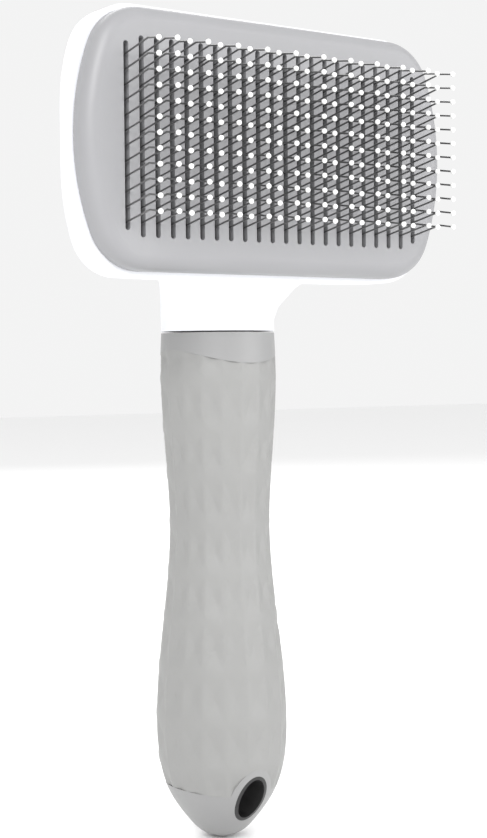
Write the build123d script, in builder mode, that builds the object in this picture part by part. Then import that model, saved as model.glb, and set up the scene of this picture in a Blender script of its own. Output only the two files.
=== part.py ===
"""Self-cleaning slicker brush: a slotted plate slides off fixed wire pins when the rear button is pressed.

Units are millimetres. +Z runs up the handle to the head, the pins point along -Y, and the head's width lies on X.
The origin is the centre of the hanging hole, on the handle's axis.
"""

import os
from math import radians, tan

from build123d import *

os.makedirs("parts", exist_ok=True)

# ---------------------------------------------------------------- driving dimensions
HEAD_Z = 160.0  # height of the head's centre above the hanging hole
FACE_Y = -27.0  # front face of the slotted plate, ahead of the handle's axis

PLATE_HALF_X = 52.5
PLATE_HALF_Z = 29.9
PLATE_WALL = 2.2
PLATE_SKIRT = 8.0  # depth of the plate's side wall, front face included
PLATE_EDGE_R = 3.6
SIDE_BOW_R = 60.0  # the head's short sides are bowed
CORNER_R = 13.0

SHELL_HALF_X = 53.6
SHELL_HALF_Z = 30.9
SHELL_RIM = 6.0  # depth of the shell's front rim behind the plate's face
SHELL_DEPTH = 23.8  # depth of the flat rear face behind the plate's face
SHELL_WALL = 2.0
SHELL_SIDE_R = 12.0
SHELL_SIDE_TURN = 60.0
SHELL_FLAT_HALF_X = 20.0
SHELL_EDGE_R = 6.0
SECTION_SPARE = 0.4  # keeps the section off the outline's widest point, where the two would only touch

SLOT_COUNT = 22
SLOT_PITCH = 4.0
SLOT_WIDTH = 1.3
SLOT_HALF = 22.6
END_SLOT_HALF = 21.1

PIN_R = 0.22
WIRE_HOLE_R = 0.3
WIRE_BEND_R = 0.6
PIN_COUNT = 12  # in each row: six staples of two legs
PIN_PITCH = 3.4
PIN_TOP = 17.7  # height of the top pin above the head's centre, where it leaves the plate
PIN_REACH = (14.0, 15.2)  # odd rows, even rows
PIN_KNEE_SHARE = 0.68  # where the pin bends, as a share of its reach
PIN_LEAN = 10.5  # degrees, up from the foot to the bend
PIN_HOOK = 9.0  # degrees, down from the bend to the tip
BEAD_R = 0.62

BASE_FRONT = 3.0  # the pin base, behind the plate's face
BASE_THICK = 2.4
RETAINER_THICK = 1.4
BASE_CLEAR = 0.5

TRAVEL = 10.0
POST_X, POST_Z, POST_R = 28.0, 24.7, 1.7
YOKE_FRONT = 17.2
YOKE_THICK = 2.2
BUTTON_HALF_X, BUTTON_HALF_Z, BUTTON_CORNER_R = 18.0, 11.0, 9.0
BUTTON_PROUD = 11.5
BUTTON_WALL = 2.0
FLANGE = 2.0
RUN_CLEAR = 0.25

SPRING_R, SPRING_WIRE_R, SPRING_TURNS = 4.2, 0.45, 9
SCREW_R, SCREW_HEAD_R, SCREW_HEAD = 1.1, 2.1, 1.3

HANDLE_TOP = 116.6
HANDLE_PROFILE = [(14.35, HANDLE_TOP), (14.7, 107.0), (12.8, 67.0), (16.7, 19.5), (13.3, -0.5), (8.7, -7.2)]
HANDLE_TIP = -11.9
GRIP_THICK = 1.7
GRIP_TOP_SIDE, GRIP_TOP_FRONT = 112.6, 109.0
GRIP_END_SIDE, GRIP_END_FRONT = 2.9, 1.0
HOLE_HALF_X, HOLE_HALF_Z = 3.5, 5.3
HOLE_RIM = 2.6  # grey rim left round the hanging hole by the grip's edge
LINER_WALL = 0.9
CORE_WALL = 2.6
TANG_HALF_X, TANG_HALF_Y, TANG_END = 6.0, 5.0, 62.0
HANDLE_SCREW_Z = (100.0, 72.0)
COLUMN_X, COLUMN_Z, COLUMN_R = 37.0, 22.4, 2.7

ROW_X = [(i - (SLOT_COUNT - 1) / 2) * SLOT_PITCH for i in range(SLOT_COUNT)]
PIN_Z = [PIN_TOP - i * PIN_PITCH for i in range(PIN_COUNT)]
TIE_POINTS = [(x, z) for x in (-COLUMN_X, COLUMN_X) for z in (-COLUMN_Z, COLUMN_Z)]
POST_POINTS = [(x, z) for x in (-POST_X, POST_X) for z in (-POST_Z, POST_Z)]
BUTTON_SCREW_POINTS = [(-15.2, 0), (15.2, 0)]
BASE_REAR = BASE_FRONT + BASE_THICK + RETAINER_THICK



def behind(depth):
    """The plane that lies depth behind the plate's face, centred on the head."""
    return Plane(origin=(0, FACE_Y + depth, HEAD_Z), x_dir=(1, 0, 0), z_dir=(0, -1, 0))


def save(part, label):
    part.label = label
    export_step(part, f"parts/{label}.step")


def head_outline(half_x, half_z, bow_r=SIDE_BOW_R, corner_r=CORNER_R):
    """The head's outline: straight long sides, bowed short sides, round corners."""
    bow = bow_r - (bow_r**2 - half_z**2) ** 0.5
    with BuildSketch() as outline:
        with BuildLine():
            Line((-half_x + bow, half_z), (half_x - bow, half_z))
            ThreePointArc((half_x - bow, half_z), (half_x, 0), (half_x - bow, -half_z))
            Line((half_x - bow, -half_z), (-half_x + bow, -half_z))
            ThreePointArc((-half_x + bow, -half_z), (-half_x, 0), (-half_x + bow, half_z))
        make_face()
        fillet(outline.vertices(), corner_r)
    return outline.sketch


def head_section(half_x, inset):
    """The shell's section seen from above, in X and Y: upright rim, rounded sides, shallow dome, flat rear."""
    side_r = SHELL_SIDE_R - inset
    rear = FACE_Y + SHELL_DEPTH - inset
    start = FACE_Y + SHELL_RIM
    with BuildSketch() as section:
        with BuildLine():
            side = JernArc((half_x, start), (0, 1), side_r, SHELL_SIDE_TURN)
            dome = TangentArc(side @ 1, (SHELL_FLAT_HALF_X, rear), tangent=side % 1)
            Line(dome @ 1, (0, rear))
            Polyline((0, rear), (0, start - SHELL_RIM), (half_x, start - SHELL_RIM), (half_x, start))
        make_face()
        mirror(about=Plane.YZ)
    return section.sketch


def handle_blank(inset):
    """The handle turned about its axis, with every radius smaller by the inset."""
    with BuildPart() as blank:
        with BuildSketch(Plane.XZ):
            with BuildLine():
                curve = Spline(
                    *[(r - inset, z) for r, z in HANDLE_PROFILE],
                    (0, HANDLE_TIP + inset),
                    tangents=((0.05, -1), (-1, 0)),
                )
                Polyline(curve @ 1, (0, HANDLE_TOP), curve @ 0)
            make_face()
        revolve(axis=Axis.Z)
    return blank.part


def grip_field():
    """The part of the handle that the soft grip covers, drawn on the XZ plane."""
    side = 20.0
    with BuildSketch() as field:
        with BuildLine():
            ThreePointArc((-side, GRIP_TOP_SIDE + 3), (0, GRIP_TOP_FRONT), (side, GRIP_TOP_SIDE + 3))
            Line((side, GRIP_TOP_SIDE + 3), (side, GRIP_END_SIDE + 1))
            ThreePointArc((side, GRIP_END_SIDE + 1), (0, GRIP_END_FRONT), (-side, GRIP_END_SIDE + 1))
            Line((-side, GRIP_END_SIDE + 1), (-side, GRIP_TOP_SIDE + 3))
        make_face()
        Ellipse(HOLE_HALF_X + HOLE_RIM, HOLE_HALF_Z + HOLE_RIM, mode=Mode.SUBTRACT)
    return field.sketch


def staple(reach):
    """One bent wire: two legs that rise to a bend and then drop to their tips."""
    bend_y = FACE_Y - reach * PIN_KNEE_SHARE
    tip_y = FACE_Y - reach
    foot_y = FACE_Y + BASE_FRONT
    crown_y = FACE_Y + BASE_FRONT + BASE_THICK - 2 * PIN_R
    rise = (foot_y - bend_y) * tan(radians(PIN_LEAN))
    drop = (bend_y - tip_y) * tan(radians(PIN_HOOK))
    leg = [(tip_y, rise - drop), (bend_y, rise), (foot_y, 0), (crown_y, 0)]
    upper = [(0, y, z) for y, z in leg]
    lower = [(0, y, z - PIN_PITCH) for y, z in reversed(leg)]
    with BuildPart() as wire:
        with BuildLine() as route:
            FilletPolyline(*upper, *lower, radius=WIRE_BEND_R)
        with BuildSketch(Plane(origin=route.line @ 0, z_dir=route.line % 0)):
            Circle(PIN_R)
        sweep(path=route.line)
    return wire.part


def tip_offset(reach):
    """How far the pins of a row lean up, measured at their tips."""
    rise = (reach * PIN_KNEE_SHARE + BASE_FRONT) * tan(radians(PIN_LEAN))
    return rise - reach * (1 - PIN_KNEE_SHARE) * tan(radians(PIN_HOOK))


# ---------------------------------------------------------------- the slotted plate and what moves with it
plate_outline = head_outline(PLATE_HALF_X, PLATE_HALF_Z)
plate_inner = head_outline(PLATE_HALF_X - PLATE_WALL, PLATE_HALF_Z - PLATE_WALL, corner_r=CORNER_R - PLATE_WALL)
lip_outline = head_outline(PLATE_HALF_X - 1.2, PLATE_HALF_Z - 1.3, corner_r=CORNER_R - 1.2)

with BuildPart() as front_plate:
    with BuildSketch(behind(0)):
        add(plate_outline)
    extrude(amount=-(SHELL_RIM - RUN_CLEAR))
    fillet(front_plate.faces().sort_by(Axis.Y)[0].edges(), PLATE_EDGE_R)
    with BuildSketch(behind(SHELL_RIM - RUN_CLEAR)):
        add(lip_outline)
    extrude(amount=-(PLATE_SKIRT - SHELL_RIM + RUN_CLEAR))
    with BuildSketch(behind(PLATE_WALL)):
        add(plate_inner)
    extrude(amount=-PLATE_SKIRT, mode=Mode.SUBTRACT)
    with BuildSketch(behind(0)):
        with Locations(*[(x, 0) for x in ROW_X[1:-1]]):
            SlotOverall(2 * SLOT_HALF, SLOT_WIDTH, rotation=90)
        with Locations((ROW_X[0], 0), (ROW_X[-1], 0)):
            SlotOverall(2 * END_SLOT_HALF, SLOT_WIDTH, rotation=90)
    extrude(amount=-PLATE_WALL, mode=Mode.SUBTRACT)
save(front_plate.part, "front_plate")

with BuildPart() as guide_posts:
    with BuildSketch(behind(PLATE_WALL)):
        with Locations(*POST_POINTS):
            Circle(POST_R)
    extrude(amount=-(YOKE_FRONT - PLATE_WALL))
save(guide_posts.part, "guide_posts")

with BuildPart() as yoke:
    with BuildSketch(behind(YOKE_FRONT)):
        RectangleRounded(2 * POST_X + 7, 2 * POST_Z + 5, 5)
        Circle(SPRING_R + SPRING_WIRE_R + 1, mode=Mode.SUBTRACT)
        with Locations((0, 17.5), (0, -17.5)):
            RectangleRounded(38, 6, 2.5, mode=Mode.SUBTRACT)
        with Locations((26.5, 0), (-26.5, 0)):
            RectangleRounded(7, 30, 3, mode=Mode.SUBTRACT)
        with Locations(*POST_POINTS, *BUTTON_SCREW_POINTS):
            Circle(SCREW_R + 0.1, mode=Mode.SUBTRACT)
    extrude(amount=-YOKE_THICK)
save(yoke.part, "yoke")

with BuildPart() as button:
    with BuildSketch(behind(SHELL_DEPTH + BUTTON_PROUD)):
        RectangleRounded(2 * BUTTON_HALF_X, 2 * BUTTON_HALF_Z, BUTTON_CORNER_R)
    extrude(amount=SHELL_DEPTH + BUTTON_PROUD - YOKE_FRONT - YOKE_THICK)
    fillet(button.faces().sort_by(Axis.Y)[-1].edges(), 3.0)
    with BuildSketch(behind(YOKE_FRONT + YOKE_THICK)):
        RectangleRounded(2 * (BUTTON_HALF_X + FLANGE), 2 * (BUTTON_HALF_Z + FLANGE), BUTTON_CORNER_R + FLANGE)
    extrude(amount=-FLANGE)
    with BuildSketch(behind(YOKE_FRONT + YOKE_THICK)):
        RectangleRounded(
            2 * (BUTTON_HALF_X - BUTTON_WALL), 2 * (BUTTON_HALF_Z - BUTTON_WALL), BUTTON_CORNER_R - BUTTON_WALL
        )
        with Locations(*BUTTON_SCREW_POINTS):
            Circle(2.4, mode=Mode.SUBTRACT)
    extrude(amount=-(SHELL_DEPTH + BUTTON_PROUD - YOKE_FRONT - YOKE_THICK - BUTTON_WALL), mode=Mode.SUBTRACT)
    with BuildSketch(behind(YOKE_FRONT + YOKE_THICK)):
        with Locations(*BUTTON_SCREW_POINTS):
            Circle(SCREW_R)
    extrude(amount=-6, mode=Mode.SUBTRACT)
    with Locations((0, FACE_Y + SHELL_DEPTH + BUTTON_PROUD + 58.8, HEAD_Z)):
        Sphere(60, mode=Mode.SUBTRACT)
save(button.part, "button")

with BuildPart() as button_screws:
    with BuildSketch(behind(YOKE_FRONT - SCREW_HEAD)):
        with Locations(*BUTTON_SCREW_POINTS):
            Circle(SCREW_HEAD_R)
    extrude(amount=-SCREW_HEAD)
    with BuildSketch(behind(YOKE_FRONT)):
        with Locations(*BUTTON_SCREW_POINTS):
            Circle(SCREW_R)
    extrude(amount=-(YOKE_THICK + 5.5))
save(button_screws.part, "button_screws")

with BuildPart() as post_screws:
    with BuildSketch(behind(YOKE_FRONT + YOKE_THICK)):
        with Locations(*POST_POINTS):
            Circle(SCREW_HEAD_R - 0.3)
    extrude(amount=-1.0)
    with BuildSketch(behind(YOKE_FRONT)):
        with Locations(*POST_POINTS):
            Circle(SCREW_R)
    extrude(amount=-YOKE_THICK)
save(post_screws.part, "post_screws")

# ---------------------------------------------------------------- the white shell, its neck and its tang
shell_outline = head_outline(SHELL_HALF_X, SHELL_HALF_Z)
shell_section = head_section(SHELL_HALF_X + SECTION_SPARE, 0)
cavity_outline = head_outline(SHELL_HALF_X - SHELL_WALL, SHELL_HALF_Z - SHELL_WALL, corner_r=CORNER_R - SHELL_WALL)
cavity_section = head_section(SHELL_HALF_X - SHELL_WALL + SECTION_SPARE, SHELL_WALL)


def head_tub(outline, section, edge_r):
    """The head's body: its outline extruded, cut to its section and rounded along the rear edges."""
    with BuildPart() as tub:
        with BuildSketch(behind(SHELL_RIM)):
            add(outline)
        extrude(amount=-(SHELL_DEPTH - SHELL_RIM))
        with BuildSketch(Plane.XY.offset(HEAD_Z - 40)):
            add(section)
        extrude(amount=80, mode=Mode.INTERSECT)
        rear_faces = tub.faces().filter_by(lambda f: f.normal_at(f.center()).Y > 0.2)
        seams = [e for f in rear_faces for e in f.edges() if abs(e.center().Z - HEAD_Z) > 20]
        rear_seams = [e for e in seams if e.center().Y > FACE_Y + SHELL_RIM + 0.5]
        fillet(ShapeList(set(rear_seams)), edge_r)
    return tub.part


outer_tub = head_tub(shell_outline, shell_section, SHELL_EDGE_R)
inner_tub = head_tub(cavity_outline, cavity_section, SHELL_EDGE_R - SHELL_WALL)

with BuildPart() as rear_shell:
    with BuildSketch(Plane.XY.offset(HANDLE_TOP + 0.4)):
        Circle(HANDLE_PROFILE[0][0])
    with BuildSketch(Plane.XY.offset(HANDLE_TOP + 4)):
        Circle(HANDLE_PROFILE[0][0] + 0.15)
    with BuildSketch(Plane.XY.offset(HANDLE_TOP + 9.5)):
        with Locations((0, -3.2)):
            Ellipse(17.2, 13.2)
    with BuildSketch(Plane.XY.offset(HANDLE_TOP + 14.5)):
        with Locations((0, -8.5)):
            Ellipse(22.5, 10.6)
    loft()
    add(outer_tub)
    add(inner_tub, mode=Mode.SUBTRACT)
    with BuildSketch(behind(SHELL_DEPTH + 1)):
        RectangleRounded(
            2 * (BUTTON_HALF_X + RUN_CLEAR), 2 * (BUTTON_HALF_Z + RUN_CLEAR), BUTTON_CORNER_R + RUN_CLEAR
        )
    extrude(amount=SHELL_WALL + 2, mode=Mode.SUBTRACT)
    with BuildSketch(behind(BASE_REAR)):
        with Locations(*TIE_POINTS):
            Circle(COLUMN_R)
    extrude(amount=-(SHELL_DEPTH - BASE_REAR - 5.5))
    with BuildSketch(behind(BASE_REAR)):
        with Locations(*TIE_POINTS):
            Circle(SCREW_R)
    extrude(amount=-7, mode=Mode.SUBTRACT)
    with BuildSketch(Plane.XY.offset(HANDLE_TOP + 1)):
        Circle(9.0)
    extrude(amount=-7)
    with BuildSketch(Plane.XY.offset(HANDLE_TOP + 1)):
        Rectangle(2 * TANG_HALF_X, 2 * TANG_HALF_Y)
    extrude(amount=TANG_END - HANDLE_TOP - 1)
    with BuildSketch(Plane.XZ.offset(-TANG_HALF_Y)):
        with Locations(*[(0, z) for z in HANDLE_SCREW_Z]):
            Circle(SCREW_R)
    extrude(amount=6, mode=Mode.SUBTRACT)
save(rear_shell.part, "rear_shell")

# ---------------------------------------------------------------- the fixed pins and their base
base_outline = head_outline(
    PLATE_HALF_X - PLATE_WALL - BASE_CLEAR, PLATE_HALF_Z - PLATE_WALL - BASE_CLEAR, corner_r=CORNER_R - 2.7
)
retainer_outline = head_outline(49.0, 26.9, corner_r=CORNER_R - 3)

with BuildPart() as pin_base:
    with BuildSketch(behind(BASE_FRONT)):
        add(base_outline)
        with Locations(*[(x, z) for x in ROW_X for z in PIN_Z]):
            Circle(WIRE_HOLE_R, mode=Mode.SUBTRACT)
        with Locations(*POST_POINTS):
            Circle(POST_R + RUN_CLEAR, mode=Mode.SUBTRACT)
        with Locations(*TIE_POINTS):
            Circle(SCREW_R + 0.1, mode=Mode.SUBTRACT)
    extrude(amount=-BASE_THICK)
    with BuildSketch(behind(BASE_FRONT + BASE_THICK)):
        with Locations(*[(x, z - PIN_PITCH / 2) for x in ROW_X for z in PIN_Z[::2]]):
            Rectangle(2 * WIRE_HOLE_R, PIN_PITCH + 2 * WIRE_HOLE_R)
    extrude(amount=1.2, mode=Mode.SUBTRACT)
    with BuildSketch(behind(BASE_FRONT)):
        with Locations(*TIE_POINTS):
            Circle(SCREW_HEAD_R + 0.1)
    extrude(amount=-SCREW_HEAD, mode=Mode.SUBTRACT)
save(pin_base.part, "pin_base")

with BuildPart() as pin_retainer:
    with BuildSketch(behind(BASE_FRONT + BASE_THICK)):
        add(retainer_outline)
        with Locations(*POST_POINTS):
            Circle(POST_R + RUN_CLEAR, mode=Mode.SUBTRACT)
        with Locations(*TIE_POINTS):
            Circle(SCREW_R + 0.1, mode=Mode.SUBTRACT)
        with Locations(*BUTTON_SCREW_POINTS):
            Circle(SCREW_HEAD_R + 0.5, mode=Mode.SUBTRACT)
    extrude(amount=-RETAINER_THICK)
    with BuildSketch(behind(BASE_REAR)):
        Circle(SPRING_R - SPRING_WIRE_R - 0.4)
    extrude(amount=-2.5)
save(pin_retainer.part, "pin_retainer")

with BuildPart() as base_screws:
    with BuildSketch(behind(BASE_FRONT)):
        with Locations(*TIE_POINTS):
            Circle(SCREW_HEAD_R)
    extrude(amount=-SCREW_HEAD)
    with BuildSketch(behind(BASE_FRONT + SCREW_HEAD)):
        with Locations(*TIE_POINTS):
            Circle(SCREW_R)
    extrude(amount=-(BASE_REAR - BASE_FRONT - SCREW_HEAD + 6.5))
save(base_screws.part, "base_screws")

staples = [staple(reach) for reach in PIN_REACH]

with BuildPart() as bead:
    Sphere(BEAD_R)
    with Locations((0, BEAD_R / 2, 0)):
        Cylinder(PIN_R, BEAD_R, rotation=(90, 0, 0), mode=Mode.SUBTRACT)

for row, row_x in enumerate(ROW_X):
    kind = row % 2
    with BuildPart() as pin_row:
        with Locations(*[(row_x, 0, HEAD_Z + z) for z in PIN_Z[::2]]):
            add(staples[kind])
    save(pin_row.part, f"pin_row_{row + 1:02d}")

for kind, label in enumerate(("bead_rows_odd", "bead_rows_even")):
    tip_y = FACE_Y - PIN_REACH[kind]
    lift = tip_offset(PIN_REACH[kind])
    spots = [Location((x, tip_y, HEAD_Z + z + lift), (PIN_HOOK, 0, 0)) for x in ROW_X[kind::2] for z in PIN_Z]
    with BuildPart() as beads:
        with Locations(*spots):
            add(bead.part)
    save(beads.part, label)

# ---------------------------------------------------------------- the return spring, inside the button
spring_length = SHELL_DEPTH + BUTTON_PROUD - BUTTON_WALL - BASE_REAR - 1.4
coil_length = spring_length - 2 * SPRING_WIRE_R
with BuildPart() as return_spring:
    with BuildLine() as coil:
        Helix(
            pitch=coil_length / SPRING_TURNS,
            height=coil_length,
            radius=SPRING_R,
            center=(0, FACE_Y + BASE_REAR + SPRING_WIRE_R + 0.1, HEAD_Z),
            direction=(0, 1, 0),
        )
    with BuildSketch(Plane(origin=coil.line @ 0, z_dir=coil.line % 0)):
        Circle(SPRING_WIRE_R)
    sweep(path=coil.line, is_frenet=True)
save(return_spring.part, "return_spring")

# ---------------------------------------------------------------- the handle
outer_blank = handle_blank(0)
core_blank = handle_blank(GRIP_THICK)
bore_blank = handle_blank(GRIP_THICK + CORE_WALL)
grip_face = grip_field()

with BuildPart() as grip_sleeve:
    with BuildSketch(Plane.XZ.offset(-30)):
        add(grip_face)
    extrude(amount=60)
    add(outer_blank, mode=Mode.INTERSECT)
    add(core_blank, mode=Mode.SUBTRACT)

with BuildPart() as hole_liner:
    with BuildSketch(Plane.XZ.offset(-20)):
        Ellipse(HOLE_HALF_X + LINER_WALL, HOLE_HALF_Z + LINER_WALL)
        Ellipse(HOLE_HALF_X, HOLE_HALF_Z, mode=Mode.SUBTRACT)
    extrude(amount=40)
    add(outer_blank, mode=Mode.INTERSECT)
save(hole_liner.part, "hole_liner")

with BuildPart() as handle_body:
    add(outer_blank)
    add(grip_sleeve.part, mode=Mode.SUBTRACT)
    with BuildPart(mode=Mode.PRIVATE) as bore:
        add(bore_blank)
        with Locations((0, 0, HOLE_HALF_Z + 5)):
            Box(40, 40, 200, align=(Align.CENTER, Align.CENTER, Align.MIN), mode=Mode.INTERSECT)
    add(bore.part, mode=Mode.SUBTRACT)
    with BuildSketch(Plane.XZ.offset(-20)):
        Ellipse(HOLE_HALF_X + LINER_WALL, HOLE_HALF_Z + LINER_WALL)
    extrude(amount=40, mode=Mode.SUBTRACT)

for half, side in (("front", -1), ("rear", 1)):
    with BuildPart() as handle_half:
        add(handle_body.part)
        with Locations((0, side * 25, 50)):
            Box(60, 50, 200, mode=Mode.INTERSECT)
        if half == "rear":
            with BuildSketch(Plane.XZ.offset(-TANG_HALF_Y)):
                with Locations(*[(0, z) for z in HANDLE_SCREW_Z]):
                    Circle(3.4)
            extrude(amount=-5)
            with BuildSketch(Plane.XZ.offset(-TANG_HALF_Y)):
                with Locations(*[(0, z) for z in HANDLE_SCREW_Z]):
                    Circle(SCREW_R)
            extrude(amount=-12, mode=Mode.SUBTRACT)
            with BuildSketch(Plane.XZ.offset(-TANG_HALF_Y - 3)):
                with Locations(*[(0, z) for z in HANDLE_SCREW_Z]):
                    Circle(SCREW_HEAD_R + 0.1)
            extrude(amount=-12, mode=Mode.SUBTRACT)
    save(handle_half.part, f"handle_{half}")
    with BuildPart() as grip_half:
        add(grip_sleeve.part)
        with Locations((0, side * 25, 50)):
            Box(60, 50, 200, mode=Mode.INTERSECT)
    save(grip_half.part, f"grip_{half}")

with BuildPart() as handle_screws:
    with BuildSketch(Plane.XZ.offset(-TANG_HALF_Y - 3)):
        with Locations(*[(0, z) for z in HANDLE_SCREW_Z]):
            Circle(SCREW_HEAD_R)
    extrude(amount=-SCREW_HEAD)
    with BuildSketch(Plane.XZ.offset(-TANG_HALF_Y - 3)):
        with Locations(*[(0, z) for z in HANDLE_SCREW_Z]):
            Circle(SCREW_R)
    extrude(amount=8.5)
save(handle_screws.part, "handle_screws")
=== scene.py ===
import math

import bmesh
import bpy
from mathutils import Matrix, Vector


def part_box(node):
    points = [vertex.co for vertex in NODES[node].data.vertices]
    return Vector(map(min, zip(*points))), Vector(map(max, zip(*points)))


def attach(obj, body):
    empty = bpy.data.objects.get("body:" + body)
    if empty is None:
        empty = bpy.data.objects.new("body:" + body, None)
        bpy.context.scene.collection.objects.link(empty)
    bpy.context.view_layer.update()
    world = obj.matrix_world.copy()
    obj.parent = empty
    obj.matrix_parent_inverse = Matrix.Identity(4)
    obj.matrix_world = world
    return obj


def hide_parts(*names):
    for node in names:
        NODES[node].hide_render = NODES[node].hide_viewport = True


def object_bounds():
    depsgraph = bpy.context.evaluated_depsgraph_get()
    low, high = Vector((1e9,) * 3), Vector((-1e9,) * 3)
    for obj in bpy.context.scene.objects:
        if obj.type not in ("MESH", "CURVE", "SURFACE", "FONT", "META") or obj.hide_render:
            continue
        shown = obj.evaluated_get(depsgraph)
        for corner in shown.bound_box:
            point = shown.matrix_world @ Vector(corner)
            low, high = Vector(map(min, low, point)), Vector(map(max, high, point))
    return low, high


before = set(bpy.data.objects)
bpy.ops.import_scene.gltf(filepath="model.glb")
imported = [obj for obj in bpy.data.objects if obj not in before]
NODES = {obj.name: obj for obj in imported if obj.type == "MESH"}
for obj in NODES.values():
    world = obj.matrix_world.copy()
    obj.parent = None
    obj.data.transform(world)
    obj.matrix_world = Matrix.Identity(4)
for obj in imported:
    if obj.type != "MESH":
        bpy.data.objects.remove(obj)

SIZE_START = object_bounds()
HANDLE_ROWS = (0.1052, 0.0929, 0.0810, 0.0689, 0.0571, 0.0453, 0.0326, 0.0202, 0.0087)
COLUMNS = 18
DIMPLE = 0.0007
CAM = Vector((-0.21988, -0.32765, 0.10854))
CAM_YAW, CAM_PITCH, CAM_ROLL = 34.79, 2.01, -0.54
CAM_LENS = 66.59


def node_group(mat):
    mat.use_nodes = True
    tree = mat.node_tree
    return tree, tree.nodes["Principled BSDF"]


def plastic(name, color, rough, grain=900.0, bump=0.05, spread=0.06, metallic=0.0):
    """A moulded finish: fine grain, slight colour variation and uneven gloss."""
    mat = bpy.data.materials.new(name)
    tree, shader = node_group(mat)
    coords = tree.nodes.new("ShaderNodeTexCoord")
    fine = tree.nodes.new("ShaderNodeTexNoise")
    fine.inputs["Scale"].default_value = grain
    fine.inputs["Detail"].default_value = 6.0
    broad = tree.nodes.new("ShaderNodeTexNoise")
    broad.inputs["Scale"].default_value = 38.0
    broad.inputs["Detail"].default_value = 4.0
    tint = tree.nodes.new("ShaderNodeMapRange")
    tint.inputs["To Min"].default_value = 1.0 - spread
    tint.inputs["To Max"].default_value = 1.0 + spread
    shade = tree.nodes.new("ShaderNodeVectorMath")
    shade.operation = "SCALE"
    shade.inputs[0].default_value = color
    gloss = tree.nodes.new("ShaderNodeMapRange")
    gloss.inputs["To Min"].default_value = rough - 0.06
    gloss.inputs["To Max"].default_value = rough + 0.08
    relief = tree.nodes.new("ShaderNodeBump")
    relief.inputs["Strength"].default_value = bump
    relief.inputs["Distance"].default_value = 0.0002
    link = tree.links.new
    link(coords.outputs["Object"], fine.inputs["Vector"])
    link(coords.outputs["Object"], broad.inputs["Vector"])
    link(broad.outputs["Fac"], tint.inputs["Value"])
    link(tint.outputs["Result"], shade.inputs["Scale"])
    link(shade.outputs["Vector"], shader.inputs["Base Color"])
    link(broad.outputs["Fac"], gloss.inputs["Value"])
    link(gloss.outputs["Result"], shader.inputs["Roughness"])
    link(fine.outputs["Fac"], relief.inputs["Height"])
    link(relief.outputs["Normal"], shader.inputs["Normal"])
    shader.inputs["Metallic"].default_value = metallic
    return mat


GREY = plastic("plate_grey", (0.29, 0.29, 0.30), 0.42)
HANDLE_GREY = plastic("handle_grey", (0.27, 0.27, 0.27), 0.4)
GRIP = plastic("grip_grey", (0.27, 0.27, 0.265), 0.5, bump=0.1)
WHITE = plastic("shell_white", (0.82, 0.83, 0.86), 0.35, bump=0.03, spread=0.02)
BLACK = plastic("base_black", (0.012, 0.012, 0.013), 0.5)
BEAD = plastic("bead_white", (0.84, 0.84, 0.83), 0.35, spread=0.03)
WIRE = plastic("pin_wire", (0.2, 0.2, 0.2), 0.35, metallic=0.9)
STEEL = plastic("screw_steel", (0.5, 0.5, 0.52), 0.3, metallic=1.0)
# Near-black finish for the hanging-hole liner: painted shade standing in for the dark interior of the
# hole.
HOLE_SHADE_BLACK = plastic("hole_shade_black", (0.02, 0.02, 0.02), 0.45)

FINISH = {
    "front_plate": GREY, "button": GREY, "handle_front": HANDLE_GREY, "handle_rear": HANDLE_GREY,
    "grip_front": GRIP, "grip_rear": GRIP, "rear_shell": WHITE, "pin_base": BLACK, "pin_retainer": BLACK,
    "yoke": BLACK, "bead_rows_odd": BEAD, "bead_rows_even": BEAD, "hole_liner": HOLE_SHADE_BLACK,
}
for name, node in NODES.items():
    finish = FINISH.get(name, WIRE if name.startswith("pin_row") else STEEL)
    for index in range(len(node.material_slots)):
        node.material_slots[index].material = finish
    if not node.material_slots:
        node.data.materials.append(finish)


def grip_shape(node_name):
    """A faceted sleeve over one half of the handle: rows of four-sided dimples between raised ridges."""
    source = NODES[node_name]
    box_low, box_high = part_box(node_name)
    heights = sorted(HANDLE_ROWS)
    mesh = bpy.data.meshes.new(node_name + "_dimples")
    work = bmesh.new()
    work.from_mesh(source.data)
    work.transform(source.matrix_world)
    for _ in range(12):
        long_edges = [e for e in work.edges if e.calc_length() > 0.0012]
        if not long_edges or len(work.verts) > 60000:
            break
        bmesh.ops.subdivide_edges(work, edges=long_edges, cuts=1)
        bmesh.ops.triangulate(work, faces=[f for f in work.faces if len(f.verts) > 4])
    step = 2 * math.pi / COLUMNS
    bounds = [heights[0] - 0.012] + heights + [heights[-1] + 0.012]
    work.normal_update()
    for vert in work.verts:
        x, y, z = vert.co
        radius = math.hypot(x, y)
        normal = vert.normal
        if normal.x * x + normal.y * y < 0.5 * radius:
            continue
        column = (math.atan2(x, -y) + step / 2) / step
        across = abs(2 * (column - math.floor(column)) - 1)
        row = max(i for i in range(len(bounds) - 1) if z >= bounds[i] or i == 0)
        along = abs(2 * (z - bounds[row]) / (bounds[row + 1] - bounds[row]) - 1)
        depth = DIMPLE * max(0.0, 1 - max(across, along) - 0.12) / 0.88
        edge = min(z - box_low.z, box_high.z - z)
        depth *= min(1.0, max(0.0, edge / 0.002))
        if depth > 0:
            vert.co.x -= depth * x / radius
            vert.co.y -= depth * y / radius
    work.to_mesh(mesh)
    work.free()
    for polygon in mesh.polygons:
        polygon.use_smooth = True
    piece = bpy.data.objects.new(node_name + "_dimples", mesh)
    bpy.context.collection.objects.link(piece)
    mesh.materials.append(GRIP)
    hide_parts(node_name)
    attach(piece, "brush")
    return piece


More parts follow.
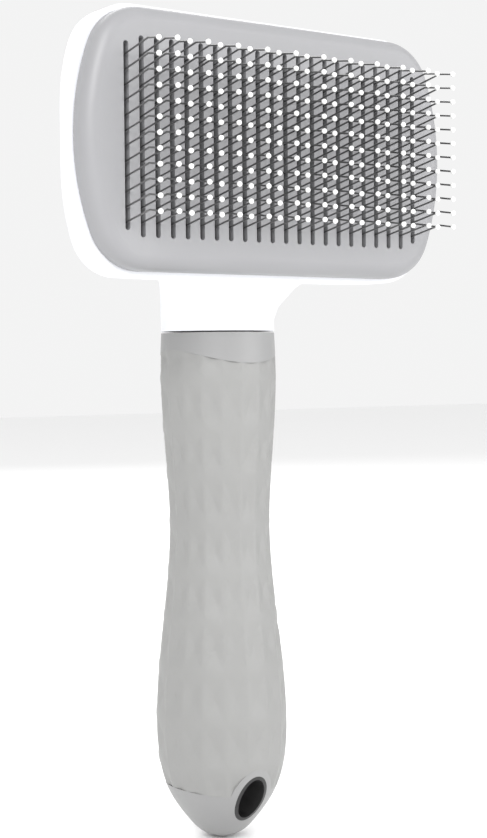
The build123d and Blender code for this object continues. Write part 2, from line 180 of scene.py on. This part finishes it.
for half in ("grip_front", "grip_rear"):
    grip_shape(half)

floor_z = SIZE_START[0][2]
floor_mesh = bpy.data.meshes.new("floor")
plane = bmesh.new()
bmesh.ops.create_grid(plane, x_segments=8, y_segments=8, size=3.0)
plane.to_mesh(floor_mesh)
plane.free()
floor = bpy.data.objects.new("floor", floor_mesh)
floor.location = (0, 0, floor_z - 0.0002)
bpy.context.collection.objects.link(floor)
floor_mesh.materials.append(plastic("floor_pale", (0.93, 0.93, 0.93), 0.8, spread=0.01))


def lamp(name, place, target, size, power):
    """A soft rectangular light aimed at a point."""
    data = bpy.data.lights.new(name, "AREA")
    data.size = size
    data.energy = power
    light = bpy.data.objects.new(name, data)
    light.location = place
    light.rotation_euler = (Vector(target) - Vector(place)).to_track_quat("-Z", "Y").to_euler()
    bpy.context.collection.objects.link(light)


HEAD = (0, 0, 0.12)
lamp("key", (-0.9, -0.9, 0.9), HEAD, 0.7, 14.0)
lamp("fill", (0.7, -1.0, 0.4), HEAD, 0.9, 7.0)
lamp("rim", (0.3, 0.9, 0.8), HEAD, 0.8, 8.0)

world = bpy.data.worlds.new("studio")
world.use_nodes = True
world.node_tree.nodes["Background"].inputs["Color"].default_value = (1, 1, 1, 1)
world.node_tree.nodes["Background"].inputs["Strength"].default_value = 0.9
bpy.context.scene.world = world
bpy.context.scene.view_settings.view_transform = "Standard"

yaw, pitch, roll = (math.radians(a) for a in (CAM_YAW, CAM_PITCH, CAM_ROLL))
turn = Matrix.Rotation(roll, 3, "Y") @ Matrix.Rotation(pitch, 3, "X") @ Matrix.Rotation(yaw, 3, "Z")
right, ahead, up = turn[0], turn[1], turn[2]
camera_data = bpy.data.cameras.new("camera")
camera_data.lens = CAM_LENS
camera_data.sensor_width = 36.0
camera_data.clip_start = 0.01
camera = bpy.data.objects.new("camera", camera_data)
pose = Matrix((right, up, -ahead)).transposed().to_4x4()
camera.matrix_world = Matrix.Translation(CAM) @ pose
bpy.context.collection.objects.link(camera)
bpy.context.scene.camera = camera
